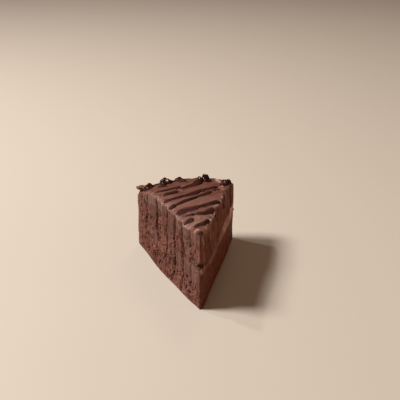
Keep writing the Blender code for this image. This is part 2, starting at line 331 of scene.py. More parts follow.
# Colours of the sponge, the filling and the icing: crumb from dark to light, then the film that
# the knife dragged over it from dark to light
SPONGE_COLOURS = ((0.06, 0.018, 0.011), (0.29, 0.113, 0.081),
                  (0.085, 0.029, 0.02), (0.121, 0.045, 0.031))
FILLING_COLOURS = ((0.08, 0.027, 0.018), (0.235, 0.092, 0.066),
                   (0.108, 0.04, 0.028), (0.15, 0.058, 0.041))
ICING_COLOURS = ((0.08, 0.027, 0.018), (0.225, 0.088, 0.062),
                 (0.092, 0.032, 0.022), (0.13, 0.049, 0.034))

# Colours laid over the cut faces: redder, greyer, the knife's film painted deeper and warmer as the
# right face's shade, and painted shade in the hollows
REDDISH = (0.125, 0.034, 0.027)
GREYISH = (0.16, 0.085, 0.062)
DRAGGED_AND_SHADED = ((0.076, 0.0195, 0.009), (0.186, 0.06, 0.03))
SHADE_IN_HOLLOWS = (0.018, 0.005, 0.003)

# Colours of the icing's top, and of what is pale there and on the faces, which also gives the painted
# highlights and sheen
MAUVE = ((0.128, 0.048, 0.037), (0.162, 0.066, 0.052))
TAN = ((0.132, 0.055, 0.036), (0.168, 0.076, 0.05))
STAINED = (0.07, 0.021, 0.013)
FINE_GRAIN = (0.095, 0.036, 0.026)
REDDISH_TIP = (0.118, 0.03, 0.019)
PALE_AND_HIGHLIGHT = (0.6, 0.405, 0.34)

# Colours of the sauce: in a line, at its thin edge, in a blob and on the pale lobe; and of loose
# crumbs
LINE_SAUCE = ((0.02, 0.0027, 0.001), (0.034, 0.0056, 0.0022))
THIN_SAUCE = (0.056, 0.013, 0.007)
BLOB_SAUCE = ((0.019, 0.0024, 0.0008), (0.032, 0.0044, 0.0014))
ON_THE_PALE_LOBE = (0.13, 0.06, 0.036)
LOOSE_CRUMB = ((0.1, 0.04, 0.028), (0.23, 0.105, 0.078))


def mix(a, b, share):
    """The value a given share of the way from a to b."""
    return a + (b - a) * share


def clamp(value):
    """The value kept between 0 and 1."""
    return np.clip(value, 0.0, 1.0)


def ease(value):
    """A soft step from 0 to 1."""
    value = clamp(value)
    return value * value * (3 - 2 * value)


def bell(distance, reach):
    """A round bump of height 1 that fades out over about twice its reach."""
    return np.exp(-(distance / reach) ** 2)


def lattice_noise(u, v, seed):
    """Smooth random values between -1 and 1, with one lump to each unit of u and v."""
    table = np.random.RandomState(seed).uniform(-1, 1, (NOISE_TABLE, NOISE_TABLE))
    cell_u = np.floor(u).astype(int)
    cell_v = np.floor(v).astype(int)
    part_u = ease(u - cell_u)
    part_v = ease(v - cell_v)

    def corner(du, dv):
        return table[(cell_u + du) % NOISE_TABLE, (cell_v + dv) % NOISE_TABLE]

    near = mix(corner(0, 0), corner(1, 0), part_u)
    far = mix(corner(0, 1), corner(1, 1), part_u)
    return mix(near, far, part_v)


def noise(u, v, size_u, size_v, seed):
    """Smooth random values between -1 and 1, in lumps of the two sizes, turned off the axes."""
    u = u / size_u
    v = v / size_v
    return lattice_noise(0.94 * u + 0.34 * v, 0.94 * v - 0.34 * u, seed)


def streaks(radius, height, size, length, seed):
    """Noise drawn out along the height, as a knife leaves it."""
    bend = radius + 0.0012 * noise(radius, height, 0.011, 0.024, seed + 1)
    return lattice_noise(bend / size, height / length, seed)


def layered(pattern, u, v, layers):
    """The sum of layers of a pattern. A layer is a height, a size along u and v, and a seed."""
    return sum(height * pattern(u, v, *size) for height, *size in layers)


def clods(u, v, size_u, size_v, seed):
    """Rounded lumps side by side, like the crumb of a cake: 1 on a lump, 0 in the cracks."""
    table = np.random.RandomState(seed).uniform(0, 1, (2, NOISE_TABLE, NOISE_TABLE))
    u = u / size_u + 0.5 * noise(u, v, 1.7 * size_u, 1.7 * size_v, seed + 1)
    v = v / size_v + 0.5 * noise(u, v, 1.7, 1.7, seed + 2)
    cell_u = np.floor(u).astype(int)
    cell_v = np.floor(v).astype(int)
    nearest = np.full(np.broadcast(u, v).shape, 9.0)
    for step_u in (-1, 0, 1):
        for step_v in (-1, 0, 1):
            i = (cell_u + step_u) % NOISE_TABLE
            j = (cell_v + step_v) % NOISE_TABLE
            away_u = cell_u + step_u + table[0, i, j] - u
            away_v = cell_v + step_v + table[1, i, j] - v
            nearest = np.minimum(nearest, away_u ** 2 + away_v ** 2)
    return 1 - clamp(nearest)


def strip_step(radius):
    """How far each strip between two grooves stands out: every other one does."""
    passed = sum((radius > groove[0]).astype(int) for groove in GROOVES)
    return STRIP_STEP * np.where(passed % 2 == 1, 1.0, -1.0)


def groove_bend(radius, height):
    """The radius as the wandering grooves see it."""
    return radius + 0.001 * noise(radius, height, 0.02, 0.007, 31)


def groove_cut(radius, height):
    """How deep the grooves of the left face are, which is uneven along them."""
    cut = np.zeros(np.broadcast(radius, height).shape)
    uneven = 0.7 + 0.35 * noise(radius, height, 0.02, 0.006, 34)
    bend = groove_bend(radius, height)
    for groove_radius, depth, end in GROOVES:
        fade = ease((height - end) / 0.012)
        cut = np.maximum(cut, depth * fade * bell(bend - groove_radius, GROOVE_WIDTH))
    return cut * uneven


def groove_shade_line(radius, height):
    """The line at the bottom of each groove, painted as shade and cut a little deeper, broken here and
    there.
    """
    bend = groove_bend(radius, height)
    broken = clamp(0.75 + 0.75 * noise(radius, height, 0.004, 0.005, 32))
    line = np.zeros(np.broadcast(radius, height).shape)
    for (groove_radius, _, end), strength in zip(GROOVES, LINE_STRENGTH):
        fade = ease((height - end) / 0.012)
        line = np.maximum(line, strength * fade * bell(bend - groove_radius, LINE_WIDTH))
    return line * broken


def left_push(radius, height):
    """How far the left cut face stands out of its plane, apart from its fine relief."""
    along = np.sin(math.pi * clamp(radius / CAKE_RADIUS))
    foot = FOOT_LEFT * along * clamp(1 - height / FOOT_HEIGHT) ** 1.6
    wave = FACE_WAVE * np.sin(radius / 0.0083 + height / 0.0121)
    step = strip_step(radius) * mix(0.35, 1.0, ease(height / 0.014))
    return foot + wave + step - groove_cut(radius, height)


def right_push(radius, height):
    """How far the right cut face stands out of its plane, apart from its fine relief."""
    along = np.sin(math.pi * clamp(radius / CAKE_RADIUS))
    foot = FOOT_RIGHT * along * clamp(1 - height / FOOT_HEIGHT)
    ledge = ease((filling_middle(radius, 1.0) - height) / LEDGE_BLEND + 0.5)
    ledge = ledge * LEDGE_RIGHT * np.sqrt(along)
    wave = FACE_WAVE * np.sin(radius / 0.0117 - height / 0.0094 + 2.0)
    return foot + ledge + wave


def plan_point(radius, share):
    """The plan coordinates, from the tip, of a radius and a share across."""
    turn = (2 * share - 1) * HALF_ANGLE
    return radius * np.sin(turn), radius * np.cos(turn)


def plan_share(x, y):
    """The radius and the share across of plan coordinates from the tip."""
    return np.hypot(x, y), clamp((np.arctan2(x, y) / HALF_ANGLE + 1) / 2)


def breadth_at(radius):
    """How far the cut faces are apart at a radius."""
    return 2 * HALF_ANGLE * radius + TIP_WIDTH


def place(radius, share, height):
    """Points at a radius, a share across and a height, with the relief of both cut faces."""
    side = 2 * share - 1
    turn = side * HALF_ANGLE
    fade = clamp(radius / TIP_FADE)
    from_left = clamp(1 - share / RELIEF_REACH) ** 2
    from_right = clamp(1 - (1 - share) / RELIEF_REACH) ** 2
    left = from_left * (fade * left_push(radius, height) + sample(LEFT["relief"], radius, height))
    right = from_right * (fade * right_push(radius, height) + sample(RIGHT["relief"], radius, height))
    x = radius * np.sin(turn) + side * TIP_WIDTH / 2 + (right - left) * math.cos(HALF_ANGLE)
    y = radius * np.cos(turn) - CAKE_RADIUS / 2 - (right + left) * math.sin(HALF_ANGLE)
    return np.stack(np.broadcast_arrays(x, y, height), axis=-1)


def rim_drop(share):
    """How far the top has fallen at the rim."""
    left = mix(RIM_DROP_CREST, RIM_DROP_LEFT, clamp((CREST - share) / CREST) ** 2)
    right = mix(RIM_DROP_CREST, RIM_DROP_RIGHT, clamp((share - CREST) / (1 - CREST)) ** 2)
    return np.where(share < CREST, left, right)


def top_height(radius, share):
    """The height of the icing's top, apart from its fine relief."""
    way = np.maximum(0.0, (radius - SHOULDER_START) / (CAKE_RADIUS - SHOULDER_START))
    breadth = breadth_at(radius)
    left_sag = EDGE_SAG_LEFT * np.exp(-share * breadth / EDGE_REACH)
    right_sag = EDGE_SAG_RIGHT * np.exp(-(1 - share) * breadth / EDGE_REACH)
    swell = TOP_SWELL * np.sin(radius / 0.0105 + 1.7) * np.sin(7 * share + 0.6)
    uneven = clamp(radius / TIP_FADE) * (swell - left_sag - right_sag)
    return TOP_HEIGHT - way ** SHOULDER_POWER * rim_drop(share) + uneven


def sponge_top(radius, share):
    """The height of the face between the upper sponge and the icing."""
    return top_height(radius, share) - ICING_TOP


def filling_middle(radius, share):
    """The height of the middle of the filling."""
    back = mix(FILLING_BACK_LEFT, FILLING_BACK_RIGHT, share)
    wave = FILLING_WAVE * np.sin(radius / 0.009 + 3 * share)
    return mix(FILLING_TIP, back, clamp(radius / CAKE_RADIUS)) + wave


def filling_bottom(radius, share):
    """The height of the filling's underside."""
    return filling_middle(radius, share) - FILLING / 2


def filling_top(radius, share):
    """The height of the filling's upper side."""
    return filling_middle(radius, share) + FILLING / 2


def notch(radius, share, height):
    """How far the ragged front edge is torn back at a height, fading out along the slice."""
    centre = filling_top(0.0, 0.5) + NOTCH_ABOVE + 0.0012 * (share - 0.5)
    across = share * TIP_WIDTH
    ragged = 1 + layered(noise, height, across, NOTCH_RAGGED)
    torn = NOTCH_DEPTH * ragged * bell(height - centre, NOTCH_REACH)
    waver = layered(noise, height, across, EDGE_WAVER) + 0.0003
    torn = torn + waver * ease(height / 0.003) * ease((0.05 - height) / 0.004)
    return np.maximum(torn, 0) * clamp(1 - radius / (4 * NOTCH_DEPTH))


def sample(values, radius, height):
    """Read a face's map at a radius and a height."""
    u = np.clip(radius / MAP_STEP, 0, values.shape[0] - 1.001)
    v = np.clip(height / MAP_STEP, 0, values.shape[1] - 1.001)
    i = u.astype(int)
    j = v.astype(int)
    near = mix(values[i, j], values[i + 1, j], u - i)
    far = mix(values[i, j + 1], values[i + 1, j + 1], u - i)
    return mix(near, far, v - j)


def strip_value(radius, values):
    """One value for each strip of the left face, with short blends between them."""
    result = np.full(radius.shape, values[0], dtype=float)
    for (edge, _, _), after in zip(GROOVES, values[1:]):
        result = mix(result, after, ease((radius - edge) / 0.002 + 0.5))
    return result


def dig(pits, radius, height, half_width, half_height, depth):
    """Press one pore into a map of pits."""
    first = max(0, int((radius - PIT_REACH * half_width) / MAP_STEP))
    last = int((radius + PIT_REACH * half_width) / MAP_STEP) + 2
    low = max(0, int((height - PIT_REACH * half_height) / MAP_STEP))
    high = int((height + PIT_REACH * half_height) / MAP_STEP) + 2
    u = (MAP_RADII[first:last, None] - radius) / half_width
    v = (MAP_HEIGHTS[None, low:high] - height) / half_height
    bent_u = u + 0.45 * np.sin(2.3 * v + 900 * radius)
    bent_v = v + 0.35 * np.sin(2.9 * u + 900 * height)
    pit = depth * np.exp(-(bent_u ** 2 + bent_v ** 2) ** 1.4)
    window = pits[first:last, low:high]
    np.maximum(window, pit, out=window)


def smear_mask(radius, height):
    """Where the left face is covered by icing dragged down, or by filling dragged down: 0 to 1."""
    tongues = layered(streaks, radius, height, SMEAR_TONGUES)
    patches = layered(noise, radius, height, SMEAR_PATCHES)
    icing_end = strip_value(radius, ICING_DRAG) + tongues
    from_icing = (height - icing_end) / 0.006 + patches
    filling_end = strip_value(radius, FILLING_DRAG) + tongues
    under_filling = (filling_top(radius, 0.0) - height) / 0.003 + patches
    from_filling = np.minimum((height - filling_end) / 0.005 + patches, under_filling)
    return ease(np.maximum(from_icing, from_filling) + 0.5)


def left_pits(rough):
    """The pores of the left face: fewer and shallower where it is smeared."""
    draw = np.random.RandomState(5)
    pits = np.zeros(rough.shape)
    for pore in LARGE_PORES:
        dig(pits, *pore, 0.0014)
    for _ in range(PORES):
        at_radius = draw.uniform(0.001, 0.113)
        at_height = draw.uniform(0.001, 0.054)
        size = draw.uniform(0.0, 1.0) ** 4 * 0.0006 + 0.00022
        length = size * draw.uniform(0.9, 2.8)
        if draw.uniform() < NEAR_GROOVE:
            at_radius = abs(GROOVES[draw.randint(len(GROOVES))][0] + draw.normal(0, GROOVE_SCATTER))
            size = 1.3 * size
            length = 1.6 * length
        there = rough[int(at_radius / MAP_STEP), int(at_height / MAP_STEP)]
        if draw.uniform() < 0.15 + 0.85 * there:
            dig(pits, at_radius, at_height, size, length, size * (0.5 + 0.9 * there))
    return pits


def hollow_shade_and_patches(radius, height, rough, pits, crumb):
    """Where the left face is dark: painted shade in the pores, cracks, grooves and the torn notch, and
    darker patches at random.
    """
    dark_patches = 0.8 * rough * clamp(noise(radius, height, 0.003, 0.0052, 77) - 0.05)
    # Painted shade in the pores and in the cracks between crumbs; the patches are darker at random.
    cracks = 0.6 * rough * clamp(-crumb / 0.00035)
    dark = clamp(np.maximum(np.maximum(1.3 * pits / 0.0009, cracks), dark_patches))
    # Painted shade in the torn notch.
    torn = 0.9 * bell(np.hypot(radius - 0.0042, (height - 0.0322) / 1.2), 0.0018)
    return np.maximum(np.maximum(dark, groove_shade_line(radius, height)), torn)


def reddish_places(radius, height):
    """Where the left face is redder: at the rim and low down, in streaks."""
    rim = ease((radius - 0.093) / 0.006) * ease((0.056 - height) / 0.01)
    low = 0.9 * ease((0.019 - height) / 0.014) * ease((radius - 0.03) / 0.02)
    return np.maximum(rim, low) * clamp(0.85 + 0.7 * streaks(radius, height, 0.0016, 0.009, 38))


def greyish_places(radius, height):
    """Where the left face is greyer: near the tip above the filling, in patches."""
    near_tip = ease((0.031 - radius) / 0.014)
    above = ease((height - 0.0285) / 0.007) * ease((0.049 - height) / 0.006)
    return near_tip * above * clamp(0.65 + 0.7 * noise(radius, height, 0.004, 0.005, 74))


def pale_places(radius, height, smear, greyish):
    """Where the left face is pale: specks of crumb, the torn notch and filling drawn out."""
    specks = clamp(3 * lattice_noise(radius / 0.0009, height / 0.0012, 39) - 1.9)
    specks = specks * np.maximum(1 - smear, greyish)
    torn = bell(np.hypot(radius - 0.0068, (height - 0.03) / 1.6), 0.0024)
    torn = torn * clamp(0.3 + lattice_noise(radius / 0.001, height / 0.0014, 40))
    drawn = clamp(0.45 + 0.9 * streaks(radius, height, 0.0019, 0.016, 75))
    drawn = drawn * smear * ease((filling_top(radius, 0.0) + 0.001 - height) / 0.003)
    return clamp(0.3 * specks + 0.36 * torn + 0.1 * drawn)


def face_fade(radius, height):
    """How the fine relief of a face fades out at the foot and at the front edge."""
    return ease(height / 0.002) * (0.3 + 0.7 * ease(radius / 0.004))


def left_face():
    """The fine relief of the left cut face, and its masks."""
    radius, height = np.meshgrid(MAP_RADII, MAP_HEIGHTS, indexing="ij")
    smear = smear_mask(radius, height)
    rough = 1 - smear
    pits = left_pits(rough)
    crumb = layered(clods, radius, height, CRUMB_CLODS) - CLODS_MIDDLE
    lumps = 0.00026 * noise(radius, height, 0.0042, 0.008, 27)
    drag = 0.00007 * streaks(radius, height, 0.001, 0.012, 28)
    drag = drag + 0.0001 * noise(radius, height, 0.003, 0.009, 30)
    edge = ease((height - 0.0505) / 0.004)
    edge = edge * 0.00055 * noise(radius, height, 0.0026, 0.0045, 33)
    relief = crumb * (0.16 + 0.84 * rough) + lumps + drag + edge - pits
    relief = relief * face_fade(radius, height) - LINE_DEPTH * groove_shade_line(radius, height)
    greyish = greyish_places(radius, height)
    dark = hollow_shade_and_patches(radius, height, rough, pits, crumb) * (1 - 0.5 * greyish)
    gloss = ease((height - 0.0515) / 0.003) * ease((radius - 0.05) / 0.01)
    return {"relief": relief, "smear": smear, "dark": dark, "grey": greyish, "gloss": gloss,
            "red": reddish_places(radius, height), "deep": 0 * radius,
            "pale": pale_places(radius, height, smear, greyish)}


def ridges(radius, height):
    """The pale ridges torn up on the right face, which are also painted paler as highlights: 0 to 1.
    """
    result = np.zeros(radius.shape)
    for radius_a, height_a, radius_b, height_b, half_width, strength in RIDGES:
        way = (height_a - height) / (height_a - height_b)
        middle = mix(radius_a, radius_b, way) + 0.0006 * noise(radius, height, 0.01, 0.003, 46)
        ends = ease(way / 0.2 + 0.5) * ease((1 - way) / 0.2 + 0.5)
        result = np.maximum(result, strength * ends * bell(radius - middle, half_width))
    return result * clamp(0.55 + 0.8 * noise(radius, height, 0.0012, 0.0034, 72))


def ledge(radius, height):
    """The lip along the ledge of the right face, the painted highlight along it, and what lies below
    it: 0 to 1.
    """
    line = filling_middle(radius, 1.0) + 0.0007 * noise(radius, 0 * height, 0.008, 1.0, 48)
    uneven = clamp(0.85 + 0.5 * noise(radius, height, 0.007, 0.05, 47))
    lip = uneven * bell(height - line, LIP_REACH)
    # Painted highlight along the ledge's upper side, brighter towards the rim and broad at the corner.
    bright = 0.32 + 0.18 * ease((radius - 0.045) / 0.015) + 0.5 * ease((radius - 0.065) / 0.012)
    corner = 0.002 * ease((radius - 0.097) / 0.006)
    broad = mix(0.001, 0.0027, bell(radius - 0.088, 0.016)) + corner
    pale = bright * uneven * bell(height - line - 0.0002 - corner, broad)
    below = ease((line - height) / 0.001) * ease((radius - 0.05) / 0.02)
    return lip, pale, below


def right_pits():
    """The pores of the right face, most of them near the tip."""
    draw = np.random.RandomState(7)
    pits = np.zeros((len(MAP_RADII), len(MAP_HEIGHTS)))
    for pore in RIGHT_LARGE_PORES:
        dig(pits, *pore, 0.0009)
    for _ in range(RIGHT_PORES):
        size = draw.uniform(0.0002, 0.0006)
        reach = draw.choice((0.036, 0.11, 0.11))
        dig(pits, draw.uniform(0.001, reach), draw.uniform(0.002, 0.054), size,
            size * draw.uniform(1.0, 2.4), size)
    return pits


def right_face():
    """The relief and masks of the right cut face, which the knife smeared all over."""
    radius, height = np.meshgrid(MAP_RADII, MAP_HEIGHTS, indexing="ij")
    lip, pale, below = ledge(radius, height)
    torn = ridges(radius, height)
    pits = right_pits()
    bare = ease((noise(radius, height, 0.011, 0.009, 71) - 0.15) / 0.4)
    near_tip = ease((0.038 - radius) / 0.012) * ease((height - 0.031) / 0.006)
    crumb = clods(radius, height, 0.0012, 0.003, 50) - 0.6
    # Painted shade in the pores, and in the cracks between crumbs near the tip and where the face is
    # bare.
    dark = clamp(0.9 * pits / 0.0008 + 0.5 * np.maximum(near_tip, 0.6 * bare) * clamp(-crumb))
    patchy = clamp(0.2 + noise(radius, height, 0.012, 0.014, 42))
    drag = 0.0002 * streaks(radius, height, 0.0026, 0.013, 41) * patchy
    drag = drag + 0.00006 * streaks(radius, height, 0.0009, 0.008, 70)
    edge = ease((height - 0.051) / 0.004) * 0.0007 * noise(radius, height, 0.0034, 0.006, 76)
    relief = drag + edge + layered(noise, radius, height, RIGHT_WAVES) + LIP_RIGHT * lip - pits
    relief = relief + 0.0005 * torn + 0.00036 * np.maximum(near_tip, 0.5 * bare) * crumb
    wiped = streaks(radius, height, 0.0016, 0.01, 45) + 0.5 * streaks(radius, height, 0.0007, 0.01, 69)
    wiped = clamp(0.2 + wiped) * ease((0.042 - radius) / 0.015) * ease((height - 0.05) / 0.007)
    # The pale mask holds the painted highlight of the ledge, the torn ridges painted paler as
    # highlights, and the pale wiped streaks.
    return {"relief": relief * face_fade(radius, height), "dark": dark,
            "smear": 0.95 - 0.25 * clamp(noise(radius, height, 0.005, 0.008, 44)) - 0.3 * near_tip,
            # The knife's film over the right face, painted deeper and warmer as its shade.
            "deep": (0.6 + 0.4 * ease(radius / 0.03)) * (0.92 - 0.25 * bare),
            "pale": np.maximum(pale, np.maximum(0.85 * torn, 0.42 * wiped)),
            "red": 0.6 * below, "grey": 0 * radius, "gloss": 0.4 * torn}


LEFT = left_face()
RIGHT = right_face()


def grid_quads(index, flip):
    """Quads over a 2-D array of vertex numbers."""
    order = (index[:-1, :-1], index[1:, :-1], index[1:, 1:], index[:-1, 1:])
    quads = np.stack(order, axis=-1).reshape(-1, 4)
    return quads[:, ::-1] if flip else quads


def added(name, data):
    """A new object in the scene for a mesh, a light or a camera."""
    piece = bpy.data.objects.new(name, data)
    bpy.context.scene.collection.objects.link(piece)
    return piece


def mesh_object(name, points, faces):
    """An object in the scene, shaded smooth."""
    mesh = bpy.data.meshes.new(name)
    mesh.from_pydata(points.reshape(-1, 3).tolist(), [], faces)
    mesh.shade_smooth()
    mesh.set_sharp_from_angle(angle=SHARP_FROM)
    return added(name, mesh)


def store_masks(piece, masks):
    """Store masks on a mesh, a value for each corner, for its material to read."""
    for name, values in masks.items():
        stored = piece.data.attributes.new(name, "FLOAT", "POINT")
        stored.data.foreach_set("value", values.astype(np.float32))


def block(name, points, masks):
    """A closed mesh: the skin of a block of cells. points is its 3-D array of corners."""
    shape = points.shape[:3]
    outside = np.ones(shape, dtype=bool)
    outside[1:-1, 1:-1, 1:-1] = False
    index = np.full(shape, -1)
    index[outside] = np.arange(outside.sum())
    faces = []
    for axis in range(3):
        faces.append(grid_quads(np.take(index, 0, axis=axis), axis == 1))
        faces.append(grid_quads(np.take(index, -1, axis=axis), axis != 1))
    piece = mesh_object(name, points[outside], np.concatenate(faces).tolist())
    store_masks(piece, {mask: values[outside] for mask, values in masks.items()})
    return piece


def tube(name, points):
    """A closed tube through rings of points, with flat ends."""
    rings, sides = points.shape[:2]
    index = np.arange(rings * sides).reshape(rings, sides)
    round_once = np.concatenate([index, index[:, :1]], axis=1)
    faces = grid_quads(round_once, False).tolist()
    faces.append(index[0].tolist())
    faces.append(index[-1, ::-1].tolist())
    return mesh_object(name, points, faces)


@lru_cache
def ball(subdivisions):
    """The corners and the triangles of a ball of radius 1."""
    shape = bmesh.new()
    bmesh.ops.create_icosphere(shape, subdivisions=subdivisions, radius=1)
    shape.verts.index_update()
    corners = np.array([vert.co[:] for vert in shape.verts])
    faces = np.array([[vert.index for vert in face.verts] for face in shape.faces])
    shape.free()
    return corners, faces


def face_masks(radius, share, height):
    """The masks of the nearer cut face at each corner of a block."""
    masks = {"top": np.zeros(radius.shape)}
    for name in LEFT:
        if name != "relief":
            on_left = sample(LEFT[name], radius, height)
            on_right = sample(RIGHT[name], radius, height)
            masks[name] = np.where(share < 0.5, on_left, on_right)
    return masks


def layer(name, bottom, top, rows):
    """A layer of the cake between two heights, each a function of radius and share across."""
    radius = np.linspace(0, INNER_RADIUS, RADIAL_CELLS + 1)[:, None, None]
    share = np.linspace(0, 1, SPONGE_COLUMNS + 1)[None, :, None]
    way = np.linspace(0, 1, rows + 1)[None, None, :]
    height = mix(bottom(radius, share), top(radius, share), way)
    radius = radius + notch(radius, share, height)
    radius, share, height = np.broadcast_arrays(radius, share, height)
    points = place(radius, share, height)
    return block(name, points, face_masks(radius, share, height))


def floor_height(radius, share):
    """The height of the slice's underside."""
    return 0 * radius * share


def banks(x, y):
    """How the icing stands up beside the drizzled lines and dips under them."""
    rise = np.zeros(x.shape)
    dip = np.zeros(x.shape)
    for line in DRIZZLE:
        start_x, start_y = plan_point(line[1], line[0])
        end_x, end_y = plan_point(line[3], line[2])
        run_x = end_x - start_x
        run_y = end_y - start_y
        way = clamp(((x - start_x) * run_x + (y - start_y) * run_y) / (run_x ** 2 + run_y ** 2))
        middle_y = mix(start_y, end_y, way) + line[4] * np.sin(math.pi * way)
        beside = np.hypot(x - mix(start_x, end_x, way), y - middle_y) - mix(line[5], line[6], way) / 2
        rise = np.maximum(rise, bell(beside - BANK_AWAY, BANK_REACH))
        dip = np.maximum(dip, ease(0.5 - beside / 0.001))
    return BANK_HEIGHT * rise * (1 - dip) - LINE_DIP * dip


def pillow_bumps(radius, share):
    """The glossy pillows of icing: how glossy and how pale their painted highlight is, 0 to 1, and
    their height.
    """
    gloss = np.zeros(radius.shape)
    pale = np.zeros(radius.shape)
    rise = np.zeros(radius.shape)
    breadth = breadth_at(radius)
    for at_radius, at_share, reach, height, highlight_paleness in PILLOWS:
        bump = bell(np.hypot(radius - at_radius, (share - at_share) * breadth), reach)
        gloss = np.maximum(gloss, bump)
        pale = np.maximum(pale, highlight_paleness * bump)
        rise = np.maximum(rise, height * bump)
    return clamp(2.2 * gloss), pale, rise


def drizzle_axes(radius, share):
    """How far a place is along the direction of the drizzle, and aside from it."""
    x, y = plan_point(radius, share)
    along = x * math.cos(DRIZZLE_TURN) + y * math.sin(DRIZZLE_TURN)
    aside = y * math.cos(DRIZZLE_TURN) - x * math.sin(DRIZZLE_TURN)
    return along, aside


def icing_relief(radius, share):
    """The fine relief of the icing's top: ridges along the drizzle, dents and uneven edges."""
    x, y = plan_point(radius, share)
    along, aside = drizzle_axes(radius, share)
    strokes = 0.00038 * lattice_noise(aside / 0.0028, along / 0.022, 51)
    strokes = strokes + 0.00016 * lattice_noise(aside / 0.0011, along / 0.012, 58)
    dents = 0.00022 * noise(radius, x, 0.006, 0.007, 52)
    fine = 0.00004 * noise(radius, x, 0.0009, 0.0022, 53)
    from_left = share * breadth_at(radius)
    from_right = (1 - share) * breadth_at(radius)
    edge = 0.0007 * bell(from_left, 0.0028) * noise(radius, from_left, 0.003, 0.004, 54)
    edge = edge + 0.0003 * bell(from_left, 0.0016) * noise(radius, from_left, 0.0013, 0.002, 55)
    edge = edge + 0.0009 * bell(from_right, 0.0024) * noise(radius, from_right, 0.0034, 0.004, 57)
    edge = edge + 0.0006 * bell(from_right, 0.0014) * noise(radius, from_right, 0.0014, 0.002, 59)
    uneven = (edge + banks(x, y)) * clamp(radius / TIP_FADE)
    return strokes + dents + fine + uneven + pillow_bumps(radius, share)[2]


def side_relief(across, height):
    """The relief of the outer side: long level strokes of a palette knife."""
    bend = height + 0.0016 * noise(across, height, 0.03, 0.02, 63)
    broad = 0.0003 * lattice_noise(bend / 0.0062, across / 0.045, 61)
    ridge = 1 - np.abs(lattice_noise(bend / 0.005, across / 0.06, 64))
    fine = 0.00006 * lattice_noise(bend / 0.001, across / 0.022, 62)
    dents = 0.00022 * noise(across, height, 0.011, 0.008, 65)
    return broad + 0.00035 * ridge ** 6 + fine + dents


def tan_patches(aside, along):
    """Where the icing is browner: broad streaks along the strokes that spread it, 0 to 1."""
    return clamp(0.45 + 0.9 * lattice_noise(aside / 0.0062, along / 0.03, 66))


def stains(aside, along):
    """Where the icing is darker: narrow streaks along the strokes that spread it, 0 to 1."""
    narrow = lattice_noise(aside / 0.0015, along / 0.011, 67)
    broad = 0.5 * lattice_noise(aside / 0.004, along / 0.02, 68)
    return clamp(1.6 * (narrow + broad) - 0.2)


def icing_skins(share):
    """The icing's skins from the tip to the foot of the outer side: radius and height of the inner
    one, then of the outer one."""
    shoulder = CAKE_RADIUS - ICING_ROUND
    top = np.linspace(0, 1, RADIAL_CELLS + 1)[:, None]
    side = np.linspace(0, 1, ROUND_CELLS + SIDE_CELLS + 1)[1:, None]
    cell = side * (ROUND_CELLS + SIDE_CELLS)
    turn = clamp(cell / ROUND_CELLS) * math.pi / 2
    down = clamp((cell - ROUND_CELLS) / SIDE_CELLS)
    rim = top_height(CAKE_RADIUS, share) - ICING_ROUND * (1 - np.cos(turn))
    inner_radius = np.concatenate([top * INNER_RADIUS, INNER_RADIUS + 0 * side])
    outer_radius = np.concatenate([top * shoulder, shoulder + ICING_ROUND * np.sin(turn)])
    inner_side = sponge_top(INNER_RADIUS, share) * (1 - side)
    inner_height = np.concatenate([sponge_top(top * INNER_RADIUS, share), inner_side])
    outer_height = np.concatenate([top_height(top * shoulder, share), rim * (1 - down)])
    return inner_radius + 0 * share, inner_height, outer_radius + 0 * share, outer_height


def icing_masks(radius, share, height, way, outer_side):
    """The masks of the icing: tan, stained, glossy, reddish and pale places, the pale ones with
    painted highlights and sheen.
    """
    masks = face_masks(radius, share, height)
    masks["top"] = ease((way - 0.7) / 0.3) + 0 * radius
    along, aside = drizzle_axes(radius, share)
    round_rim = share * 2 * HALF_ANGLE * CAKE_RADIUS
    for name, tone in (("tan", tan_patches), ("stain", stains)):
        masks[name] = mix(tone(aside, along), tone(height, round_rim), outer_side)
    # Besides its stains, the icing is painted darker towards the rim.
    far = ease((radius - 0.078) / 0.02) * (1 - outer_side)
    masks["stain"] = clamp(masks["stain"] + 0.5 * far)
    from_left = share * breadth_at(radius)
    left_edge = bell(from_left, 0.003)
    left_edge = left_edge * clamp(0.45 + noise(radius, from_left, 0.004, 0.004, 56))
    right_edge = bell((1 - share) * breadth_at(radius), 0.0018) * ease((0.085 - radius) / 0.02)
    right_edge = right_edge * clamp(0.5 + 0.8 * noise(radius, from_left, 0.0016, 0.004, 60))
    tip = bell(radius - 0.008, 0.007) * ease((0.8 - share) / 0.3)
    pillow_gloss, pillow_highlight, _ = pillow_bumps(radius, share)
    masks["gloss"] = np.maximum(0.7 * np.maximum(left_edge, tip), pillow_gloss)
    masks["red"] = np.maximum(masks["red"], 0.9 * tip)
    # Painted sheen: the top is painted paler towards the front.
    front = 0.06 * ease((0.04 - radius) / 0.02) + 0.05 * ease((0.076 - radius) / 0.016)
    front = front * ease((radius - 0.012) / 0.006)
    # Painted highlights along the top's cut edges, strongest along the right one.
    edges = (0.07 * left_edge + 0.36 * right_edge) * ease((radius - 0.01) / 0.01)
    on_top = masks["top"] * np.maximum(front + edges, pillow_highlight)
    masks["pale"] = clamp(np.maximum(on_top, masks["pale"] * (1 - masks["top"])))
    return masks


